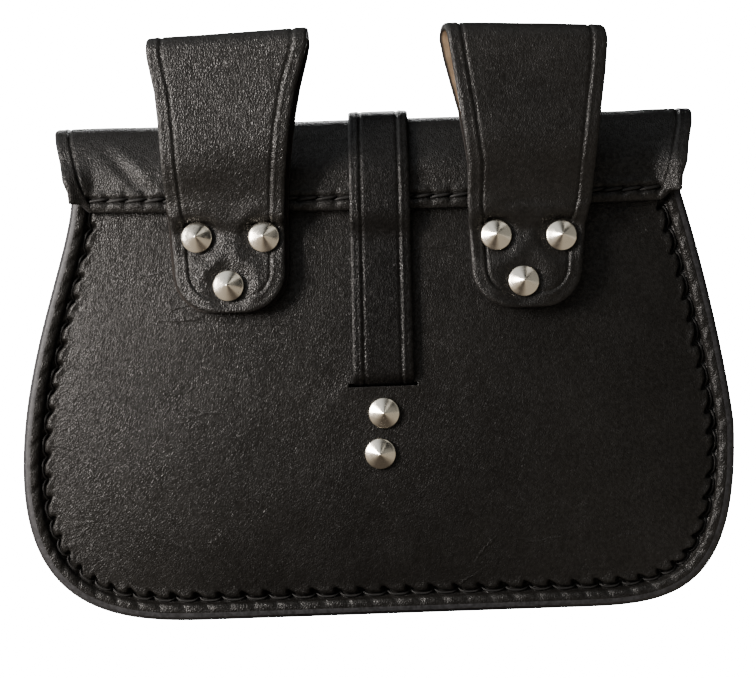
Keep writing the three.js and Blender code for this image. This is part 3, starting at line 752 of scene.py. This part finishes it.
def flap_edges(at):
    """The flap's left and right edges, with its two round corners in front."""
    row = from_table(FLAP_EDGES, "at", at)
    turned = min(1.0, max(0.0, (at - CORNER_START) / (4 - CORNER_START)))
    corner = FLAP_CORNER * (1 - math.sqrt(1 - turned ** 2))
    return row["left"] + corner, row["right"] - corner


# A distance that is well away from any edge
FAR_IN = 50.0


def hem_height(x, from_edge=FAR_IN):
    """The hem sags a little towards its middle and is drawn up at its two ends."""
    return 128.6 + 0.00015 * (x - 40) ** 2 + 2.6 * (1 - smooth(3, 6.5, from_edge))


# How closely the flap follows the step from the panel's rim to its middle
BRIDGE = 1.3


def flap_over_back(x, z):
    """How the flap's back follows the panel. Over the rim it bridges the valley, and it eases off above."""
    inset = max(0.0, min(x - WAIST_LEFT, WAIST_RIGHT - x))
    rim = (VALLEY_INSET - inset) * RIM_SLOPE
    puffed = puff(inset)
    bridged = math.log(math.exp(BRIDGE * rim) + math.exp(BRIDGE * puffed)) / BRIDGE
    on_rim = 1 - smooth(139.5, 149, z)
    over_rim = puffed * (1 - on_rim) + bridged * on_rim
    return -(1 - smooth(FLAP_LIFT, 152, z)) * (over_rim + dome(x, z, BACK_DOME))


# The flap's middle in depth and height: over the back, over the crest, round the front and down it
FLAP_CURVES = [
    [(FLAP_BACK_DEPTH, FLAP_LIFT), (FLAP_BACK_DEPTH, 150), (4, FLAP_TOP), (14, FLAP_TOP)],
    [(14, FLAP_TOP), (24, FLAP_TOP + 0.9), (31, FLAP_TOP + 0.9), (40, FLAP_TOP)],
    [(40, FLAP_TOP), (50, FLAP_TOP), (FLAP_FRONT_DEPTH, 150), (FLAP_FRONT_DEPTH, 138)],
    [(FLAP_FRONT_DEPTH, 138), (FLAP_FRONT_DEPTH, 107), (FLAP_FRONT_DEPTH, 77),
     (FLAP_FRONT_DEPTH, FLAP_BOTTOM)],
]


def flap_section(at):
    """A place on the flap's middle, in depth and height."""
    part = min(int(at), 3)
    t = at - part
    a, b, c, d = (Vector(point) for point in FLAP_CURVES[part])
    return a * (1 - t) ** 3 + b * 3 * t * (1 - t) ** 2 + c * 3 * t * t * (1 - t) + d * t ** 3


def flap_surface(share, at):
    left, right = flap_edges(at)
    x = left + (right - left) * share
    if at < 0:
        low = hem_height(x, min(x - left, right - x))
        z = low + (FLAP_LIFT - low) * (at + 1)
        return x, FLAP_BACK_DEPTH + flap_over_back(x, z), z
    depth, z = flap_section(at)
    if at < 1:
        depth += flap_over_back(x, z)
    return x, depth, z


# The creasing iron's line, and the lap stitching: its pitch, its height above the hem and its two ends
CREASE_INSET = 4.7
LAP_PITCH = 6.05
LAP_ROW = 4.0
LAP_LEFT, LAP_RIGHT = -89.5, 93.0


def crease(from_edge, inset=CREASE_INSET, depth=0.45):
    """The iron's line, and the low ridge that it raises beside it."""
    return -depth * bell(from_edge, inset, 0.42) + 0.15 * bell(from_edge, inset - 1.0, 0.5)


def lap_relief(x, above):
    """What the hem's thread adds: a sunk row, a pit at each awl hole, and swells beside each stitch."""
    phase = (x - LAP_LEFT) / LAP_PITCH
    pull = math.exp(-(abs(phase - round(phase)) * LAP_PITCH) ** 2)
    stitched = smooth(LAP_LEFT - 1.5, LAP_LEFT, x) * (1 - smooth(LAP_RIGHT, LAP_RIGHT + 1.5, x))
    lift = -0.45 * bell(above, LAP_ROW, 0.8) - pull * bell(above, LAP_ROW, 1.1)
    lift += (1 - pull) * (0.55 * bell(above, LAP_ROW - 1.9, 1.0) + 0.35 * bell(above, LAP_ROW + 1.8, 1.1))
    return lift * stitched


def flap_relief(share, at, spot):
    left, right = flap_edges(at)
    x, y, z = spot
    from_side = min(x - left, right - x)
    from_end = FAR_IN
    lift = 0.4 * of_the_hide(x, z + y, 2.6)
    if at < 0:
        from_end = z - hem_height(x, from_side)
        lift += lap_relief(x, from_end)
    elif at > 3:
        from_end = z - FLAP_BOTTOM
        lift += crease(from_end)
    lift += crease(from_side) * smooth(-0.6, -0.45, at)
    # The dent beside the left loop
    if at < 1:
        along = (x + 77) * 0.72 - (z - 143) * 0.69
        over = (x + 77) * 0.69 + (z - 143) * 0.72
        lift -= 0.75 * bell(over, 0, 2.0) * bell(along, 0, 9)
        lift += 0.4 * bell(over, 3.4, 2.0) * bell(along, 2, 9)
    return lift - edge_drop(min(from_side, from_end))


# The flap's grid lines lie closest where its edges, its crease and its stitches are
FLAP_WIDTH = 197
LAP_HEIGHT = 12.4
flap_across = []
position = 0.0
while position < 0.5:
    flap_across.append(position)
    inset = position * FLAP_WIDTH
    position += (0.2 if inset < 0.6 else 0.45 if inset < 6.4 else 0.72) / FLAP_WIDTH
flap_across += [0.5] + [1 - share for share in reversed(flap_across)]
flap_along = [-1 + rise / LAP_HEIGHT for rise in (0, 0.2, 0.45, 0.8)]
flap_along += [-1 + (0.8 + 0.45 * k) / LAP_HEIGHT for k in range(1, 26)]
flap_along += [k / 20 for k in range(21)] + [1 + k / 10 for k in range(1, 11)]
flap_along += [2 + k / 12 for k in range(1, 13)] + [3 + k / 20 for k in range(1, 18)]
flap_along += [3.88, 3.91, 3.94, 3.96, 3.98, 3.99, 3.995, 4]
flap_mesh = leather_sheet(flap_across, flap_along, flap_surface, flap_relief, LEATHER / 2, LEATHER / 2)
flap_grain = grain_leather("flap leather", roughness=0.42, shine=0.42, seed=3.3)
flap_edge = cut_edge("dyed flap edge", (0.04, 0.039, 0.04))
flap = finished_piece(flap_mesh, "flap_leather", [flap_grain, black_flesh, flap_edge])
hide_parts("flap")


# Thread along the flap's hem
# Waxed linen thread 1 mm thick that sews the hem to the back panel. The saddle stitch looks like a rope,
# because each stitch slants over the end of the last.

LAP_THREAD = 1.0
lap_stitches = []
for k in range(int((LAP_RIGHT - LAP_LEFT) / LAP_PITCH)):
    points = []
    for step in range(STITCH_STEPS + 1):
        share = step / STITCH_STEPS
        x = LAP_LEFT + (k + share * 1.06 - 0.03) * LAP_PITCH
        aside = abs(2 * share - 1)
        z = hem_height(x) + LAP_ROW - 0.1 + 0.45 * (2 * share - 1)
        y = FLAP_BACK_DEPTH + flap_over_back(x, z) - LEATHER / 2 - 0.05 + 1.1 * aside ** 4
        points.append((x, y, z))
    lap_stitches.append(points)
thread_piece("lap_thread", lap_stitches, LAP_THREAD)


# Belt loops
# Two strips, each folded to a loop for the belt and riveted to the panel through both its layers by three
# studs. The grain side is creased along its edges. The flesh side inside is bare tan suede, with dye only
# where it has run in from the edges.

TUNNEL = 5.6
LOOP_CORNER = 13.0
LOOP_FOLD = 179.9
FOLD_RADIUS = (LEATHER + TUNNEL) / 2
LOOP_COLUMNS = 84

# Each loop's lower end, the slope of its fold, how far its free part is turned to the window, its look, and
# the x left of which its flesh side is bare up to the edge. Then the side edges of the layer that shows,
# and how far the layer behind stands out past each of them.
LOOP_EDGES = "z left right behind_left behind_right"
LOOPS = {
    "belt_loop_left": {
        "end": 97.7, "top_slope": 0.032, "turn": 0.03, "seed": 5.1, "grain": 1.0, "shine": 0.5, "bare": -100,
        "rows": table(
            LOOP_EDGES,
            (111, -62.2, -27.5, -1, 1.1), (125, -63.2, -27.3, -0.8, 1.1), (140, -64.5, -26.3, 0, 1.1),
            (156, -65.2, -24.2, 0.5, 1.1), (167, -66, -21.9, 0.5, 1.1), (178, -68, -18.4, 0.5, 0.8),
            (186, -68.7, -16.4, 0, 0))},
    "belt_loop_right": {
        "end": 96.2, "top_slope": -0.054, "turn": 0.0, "seed": 7.9, "grain": 0.8, "shine": 0.42, "bare": 45,
        "rows": table(
            LOOP_EDGES,
            (109, 31.3, 65.9, 0.4, -0.4), (123, 30.8, 67.5, 0.4, -0.4), (130, 30.4, 69.5, 0.3, -0.4),
            (142, 31, 70.7, 0, -0.5), (157, 29.2, 72.7, -0.3, -1), (170, 27.3, 74.5, -1.8, -2),
            (179, 26, 75.4, -2.7, -2.7), (186, 24.4, 75, 0, 0))},
}

# Studs by their place on the back panel, and how many layers of a loop lie under each
STUDS = {
    "stud_left_1": {"x": -54.7, "z": 121.4, "layers": 2},
    "stud_left_2": {"x": -33.7, "z": 120.8, "layers": 2},
    "stud_left_3": {"x": -45.2, "z": 105.8, "layers": 2},
    "stud_right_1": {"x": 39.0, "z": 118.9, "layers": 2},
    "stud_right_2": {"x": 59.4, "z": 118.2, "layers": 2},
    "stud_right_3": {"x": 47.0, "z": 104.2, "layers": 2},
    "stud_strap_1": {"x": 2.0, "z": 64.5, "layers": 0},
    "stud_strap_2": {"x": 0.4, "z": 51.7, "layers": 0},
}


def back_face(x, z):
    return -dome(x, z, BACK_DOME) - PUFF


def back_bearing(x, z, start=-2.7, end=-0.9):
    """Depth of what a piece on the back lies on: the panel below the flap's hem, and the flap above."""
    hem = hem_height(x)
    return back_face(x, z) - (LEATHER + GAP + LAP_EASE) * smooth(hem + start, hem + end, z)


def loop_bearing(x, z, behind):
    """The layer that shows bridges the hem softly, but the studs pull it down."""
    if behind:
        return back_bearing(x, z)
    away = min(math.hypot(x - stud["x"], z - stud["z"]) for stud in STUDS.values())
    pulled = 1 - smooth(5.3, 9.5, away)
    return back_bearing(x, z, -3.6, -0.6) * pulled + back_bearing(x, z, -8, -0.2) * (1 - pulled)


def loop_depth(x, z, middle_x, behind):
    """A loop follows the bag across its width up to the flap, and stands straight above it."""
    held = min(z, FLAP_LIFT)
    freed = smooth(130, 145, z)
    bearing = loop_bearing(x, held, behind) * (1 - freed) + (back_bearing(middle_x, held) - 1) * freed
    return bearing - GAP - LEATHER / 2


def loop_layer(loop, share, z, behind):
    """A place on the middle of a loop's layer, and its left and right edges there."""
    row = from_table(loop["rows"], "z", z)
    left = row["left"] + row["behind_left"] * behind
    right = row["right"] + row["behind_right"] * behind
    middle_x = (loop["rows"][0]["left"] + loop["rows"][0]["right"]) / 2
    rise = min(LOOP_CORNER, z - loop["end"])
    corner = LOOP_CORNER - math.sqrt(LOOP_CORNER ** 2 - (LOOP_CORNER - rise) ** 2)
    x = left + corner + (right - left - 2 * corner) * share
    spread = 0 if behind else LEATHER + GAP + (TUNNEL - GAP) * smooth(125, 152, z)
    slope = loop["top_slope"] * (x - middle_x) * smooth(150, 185, z)
    turned = loop["turn"] * (x - middle_x) * smooth(140, 156, z)
    depth = loop_depth(x, z, middle_x, behind) - spread - turned
    return Vector((x, depth, z + slope)), left, right


def loop_height(loop, at):
    """at goes up the layer behind from 0 to 1, round the fold to 2, and down the one that shows to 3."""
    length = LOOP_FOLD - loop["end"]
    return LOOP_FOLD - length * max(1 - at, at - 2, 0)


def loop_surface(loop, share, at):
    z = loop_height(loop, at)
    if at < 1 or at > 2:
        return loop_layer(loop, 1 - share, z, at < 1)[0]
    turn = math.pi * (at - 1)
    behind = loop_layer(loop, 1 - share, z, True)[0]
    shown = loop_layer(loop, 1 - share, z, False)[0]
    return behind.lerp(shown, (1 - math.cos(turn)) / 2) + Vector((0, 0, FOLD_RADIUS * math.sin(turn)))


def loop_inset(loop, share, at):
    """A place on a loop, and how far it is from the nearest edge."""
    z = loop_height(loop, at)
    spot, left, right = loop_layer(loop, 1 - share, z, at < 1)
    below_centre = loop["end"] + LOOP_CORNER - z
    if below_centre > 0:
        aside = max(0.0, left + LOOP_CORNER - spot.x, spot.x - right + LOOP_CORNER)
        return spot, z, LOOP_CORNER - math.hypot(aside, below_centre)
    return spot, z, min(spot.x - left, right - spot.x)


def loop_relief(loop, share, at):
    """The crease, the hide's unevenness, the bend over the hem and the leather drawn in round the studs."""
    spot, z, from_edge = loop_inset(loop, share, at)
    lift = crease(from_edge, 4.6, 0.45) - edge_drop(from_edge)
    if at <= 1:
        return lift
    lift += 0.3 * of_the_hide(spot.x, z + (at - 2) * 9, loop["seed"])
    bend = 129.2 + 2.2 * noise.noise(Vector((spot.x / 11, loop["seed"], 0)))
    lift -= 0.3 * bell(z, bend, 1.5) * smooth(1, 6, from_edge)
    for stud in STUDS.values():
        away = math.hypot(stud["x"] - spot.x, stud["z"] - z)
        if away < 16:
            uneven = 1 + 0.9 * noise.noise(Vector((spot.x / 5, z / 5, loop["seed"])))
            lift += (0.3 * bell(away, 9, 3) * uneven - 0.45 * bell(away, 4.6, 2.4)) * stud["layers"] / 2
    return lift


def loop_undyed(loop, share, at):
    """The dye of the edge has run a little way in on the flesh side, but for the bare part of the edge."""
    spot, z, from_edge = loop_inset(loop, share, at)
    inner = smooth(2.2, 4.0, from_edge)
    if spot.x < loop["bare"]:
        return max(inner, smooth(0.5, 1.2, from_edge) * smooth(150, 157, z))
    return inner


suede = flesh_side("undyed suede", undyed_colour=(0.3, 0.21, 0.13))
loop_edge = cut_edge("dyed loop edge", (0.022, 0.02, 0.019))
loop_across = [0, 0.005, *(k / LOOP_COLUMNS for k in range(1, LOOP_COLUMNS)), 0.995, 1]

# How far the grid lines of a loop's hidden layer are above its end, and the spacing on the one that shows
BEHIND_RISES = [0.0, 0.4, 0.9, 1.7, 3, 5, 8, LOOP_CORNER, 18, 24, 28, 30, 32, 34, 36, 40, 46, 54, 62, 70, 78]
SHOWN_STEP = 0.62

for loop_name, loop in LOOPS.items():
    length = LOOP_FOLD - loop["end"]
    shown_rises = [0.0, 0.2, 0.45, 0.8]
    shown_rises += [0.8 + SHOWN_STEP * k for k in range(1, int((length - 1.2) / SHOWN_STEP) + 1)]
    loop_along = [rise / length for rise in BEHIND_RISES] + [1 + k / 14 for k in range(15)]
    loop_along += [3 - rise / length for rise in reversed(shown_rises)]
    loop_mesh = leather_sheet(
        loop_across, loop_along, lambda share, at: loop_surface(loop, share, at),
        lambda share, at, spot: loop_relief(loop, share, at), LEATHER / 2, LEATHER / 2,
        undyed=lambda share, at: loop_undyed(loop, share, at))
    loop_grain = grain_leather(
        loop_name + " leather", grain=loop["grain"], shine=loop["shine"], seed=loop["seed"])
    loop_piece = finished_piece(loop_mesh, loop_name + "_leather", [loop_grain, suede, loop_edge])
    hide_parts(loop_name)


# Closing strap
# A strap 19 mm wide, of thinner black leather creased along its edges. It is riveted inside the back panel
# by two studs, comes out through the slit, goes up over the flap and down the front, and buttons there.

STRAP_LEATHER = 2.2
STRAP_WIDTH = 19.2
STRAP_X = 2.2
STRAP_LEAN = 0.0127
STRAP_FOOT = 73.2


def strap_x(z):
    return STRAP_X + STRAP_LEAN * (min(z, FLAP_TOP) - STRAP_FOOT)


def front_face(x, z):
    return BODY_DEPTH + dome(x, z, FRONT_DOME) + PUFF


# The strap's middle line, in height and depth: inside the bag, out through the slit, up over the flap's
# hem, over the flap, and down the front to the button stud
inside = LEATHER + GAP + STRAP_LEATHER / 2
outside = -GAP - STRAP_LEATHER / 2
strap_line = [(z, back_face(strap_x(z), z) + inside + 0.1) for z in (43, 50, 57, 64, 69)]
for z, depth in ((72.1, inside + 0.1), (73.6, inside - 0.3), (74.3, LEATHER / 2 + 0.3), (74.9, outside + 1),
                 (75.9, outside + 0.2), (78, outside - 0.1), (82, outside - 0.1)):
    strap_line.append((z, back_face(strap_x(z), z) + depth))
for z in (88, 96, 106, 116, 119, 121.5, 124, 126, 128, 130, 134):
    strap_line.append((z, back_bearing(strap_x(z), z, -9, -0.5) + outside - 0.1))
over_flap = LEATHER / 2 + GAP + 0.1 + STRAP_LEATHER / 2
for part, steps in enumerate((8, 4, 6, 3)):
    for k in range(steps):
        here = flap_section(part + k / steps)
        ahead = flap_section(part + k / steps + 0.01)
        if part == 0:
            here.x += flap_over_back(STRAP_X + 1, here.y)
            ahead.x += flap_over_back(STRAP_X + 1, ahead.y)
        way = (ahead - here).normalized()
        strap_line.append((here.y + over_flap * way.x, here.x - over_flap * way.y))
front_outside = FLAP_FRONT_DEPTH + over_flap
strap_line += [(FLAP_BOTTOM + 1, front_outside), (FLAP_BOTTOM - 2.5, front_outside - 0.4)]
for z in (39, 33, 28, 23, 19):
    landed = front_face(strap_x(z), z) - outside + 0.1
    held = smooth(32, 44, z)
    strap_line.append((z, landed * (1 - held) + (front_outside - 1.5) * held))
strap_points = [Vector((strap_x(z), y, z)) for z, y in strap_line]
strap_runs = runs_of(strap_points)
STRAP_LENGTH = strap_runs[-1]


def strap_surface(share, run):
    before, here, after = (on_line(strap_points, strap_runs, run + step) for step in (-0.8, 0, 0.8))
    spot = (before + here + after) / 3
    return spot.x + (share - 0.5) * STRAP_WIDTH, spot.y, spot.z


def strap_relief(share, run, spot):
    from_edge = min(STRAP_WIDTH * share, STRAP_WIDTH * (1 - share), run, STRAP_LENGTH - run)
    return crease(from_edge, 3.7, 0.3) - edge_drop(from_edge) + 0.12 * of_the_hide(share * 19, run, 6.4)


STRAP_ROWS = 250
strap_across = [0, 0.01, 0.024, 0.04, *(0.04 + 0.92 * k / 44 for k in range(1, 44)), 0.96, 0.976, 0.99, 1]
strap_along = [0, 0.25, 0.6, *(0.6 + (STRAP_LENGTH - 1.2) * k / STRAP_ROWS for k in range(1, STRAP_ROWS)),
               STRAP_LENGTH - 0.6, STRAP_LENGTH - 0.25, STRAP_LENGTH]
strap_mesh = leather_sheet(
    strap_across, strap_along, strap_surface, strap_relief, STRAP_LEATHER / 2, STRAP_LEATHER / 2)
strap_grain = grain_leather("strap leather", (0.006, 0.0056, 0.0052), roughness=0.38, grain=0.8, shine=0.3,
                            seed=9.2)
strap = finished_piece(strap_mesh, "closing_strap_leather", [strap_grain, black_flesh, flap_edge])
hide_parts("closing_strap")


# Studs
# Cone-head rivets pressed from nickel-plated brass, 10 mm across with a thin rim, and one low button
# stud in front. Each head is set on its post, with a flat cap inside the bag.

STUD_RADIUS = 4.9
POST_RADIUS = 1.5
CAP_RADIUS = 4.0
CAP_HEIGHT = 0.8
SPIN_STEPS = 40
CONE = [(0, 3.6), (0.3, 3.5), (0.7, 3.22), (1.6, 2.6), (2.8, 1.85), (4.0, 1.15), (4.5, 0.9), (4.78, 0.72),
        (STUD_RADIUS, 0.5), (4.86, 0.15), (4.7, 0)]
BUTTON = [(0, 3.4), (0.9, 3.36), (1.8, 3.22), (2.6, 3), (3.4, 2.6), (4.0, 2.1), (4.4, 1.5), (4.4, 0.6),
          (4.2, 0.45)]


def nickel_finish(name):
    material, tree, skin = new_material(name)
    where = add_node(tree, "TexCoord", out="Object")
    wear = add_node(tree, "TexNoise", where, Scale=700, Detail=4)
    set_up(tree, skin, Base_Color=(0.98, 0.92, 0.79, 1), Metallic=1,
           Roughness=rescale(tree, wear, 0.3, 0.7, 0.16, 0.3), Normal=add_bump(tree, wear, 0.12, 0.1))
    return material


nickel = nickel_finish("nickel plate")


def wall_normal(face, x, z, outward):
    slope_x = face(x + 0.5, z) - face(x - 0.5, z)
    slope_z = face(x, z + 0.5) - face(x, z - 0.5)
    return (Vector((-slope_x, 1, -slope_z)) * outward).normalized()


def set_stud(name, head, face, outward, x, z, stand_off, grip):
    """Spins a head's profile, with its post and cap, and sets it on the wall."""
    profile = head + [(POST_RADIUS, 0), (POST_RADIUS, -grip), (CAP_RADIUS, -grip),
                      (CAP_RADIUS, -grip - CAP_HEIGHT), (0, -grip - CAP_HEIGHT)]
    bm = bmesh.new()
    verts = [bm.verts.new((radius * 0.001, 0, height * 0.001)) for radius, height in profile]
    edges = [bm.edges.new(pair) for pair in zip(verts, verts[1:])]
    bmesh.ops.spin(bm, geom=verts + edges, cent=(0, 0, 0), axis=(0, 0, 1), dvec=(0, 0, 0),
                   angle=math.tau, steps=SPIN_STEPS, use_merge=True, use_duplicate=False)
    bmesh.ops.remove_doubles(bm, verts=bm.verts[:], dist=0.000001)
    bmesh.ops.recalc_face_normals(bm, faces=bm.faces[:])
    normal = wall_normal(face, x, z, outward)
    spot = place(x, face(x, z), z) + normal * stand_off * 0.001
    turn = normal.to_track_quat("Z", "Y").to_matrix().to_4x4()
    bmesh.ops.transform(bm, matrix=Matrix.Translation(spot) @ turn, verts=bm.verts[:])
    stud = finished_piece(bm, name + "_nickel", [nickel])
    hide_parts(name)


# A post goes through the panel and a little further
THROUGH_PANEL = LEATHER + 0.15
THROUGH_STRAP = GAP + STRAP_LEATHER + 0.1
BUTTON_X, BUTTON_Z = 2, 27

for stud_name, stud in STUDS.items():
    on_top = stud["layers"] * (LEATHER + GAP)
    underneath = THROUGH_PANEL + (0 if stud["layers"] else THROUGH_STRAP)
    set_stud(stud_name, CONE, back_face, -1, stud["x"], stud["z"], on_top + GAP,
             on_top + 2 * GAP + underneath)
button_stand_off = 2 * GAP + 0.1 + STRAP_LEATHER
set_stud("closing_stud", BUTTON, front_face, 1, BUTTON_X, BUTTON_Z, button_stand_off,
         button_stand_off + THROUGH_PANEL + GAP)
